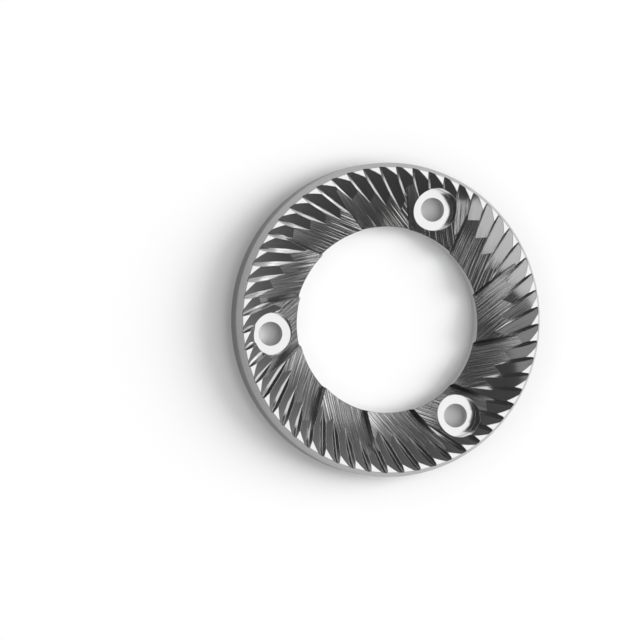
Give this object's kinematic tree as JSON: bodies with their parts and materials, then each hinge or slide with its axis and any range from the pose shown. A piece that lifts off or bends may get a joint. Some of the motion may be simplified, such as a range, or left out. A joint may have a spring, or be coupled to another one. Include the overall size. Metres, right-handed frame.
{
  "type": "coffee grinder burr",
  "caption": "Flat ring of hardened steel with swept cutting teeth on its face, sloping prebreaker channels round the bore and counterbored screw holes.",
  "frame": {"origin": "centre of the flat back face, on the ring's axis", "axes": "+Z along the ring's axis, out of the toothed face; +X is the picture's right"},
  "size_m": [0.064, 0.064, 0.007],
  "materials": {
    "tool_steel": "ground and milled bare steel"
  },
  "bodies": {
    "root": {"grinding_burr": "tool_steel"}
  },
  "joints": []
}
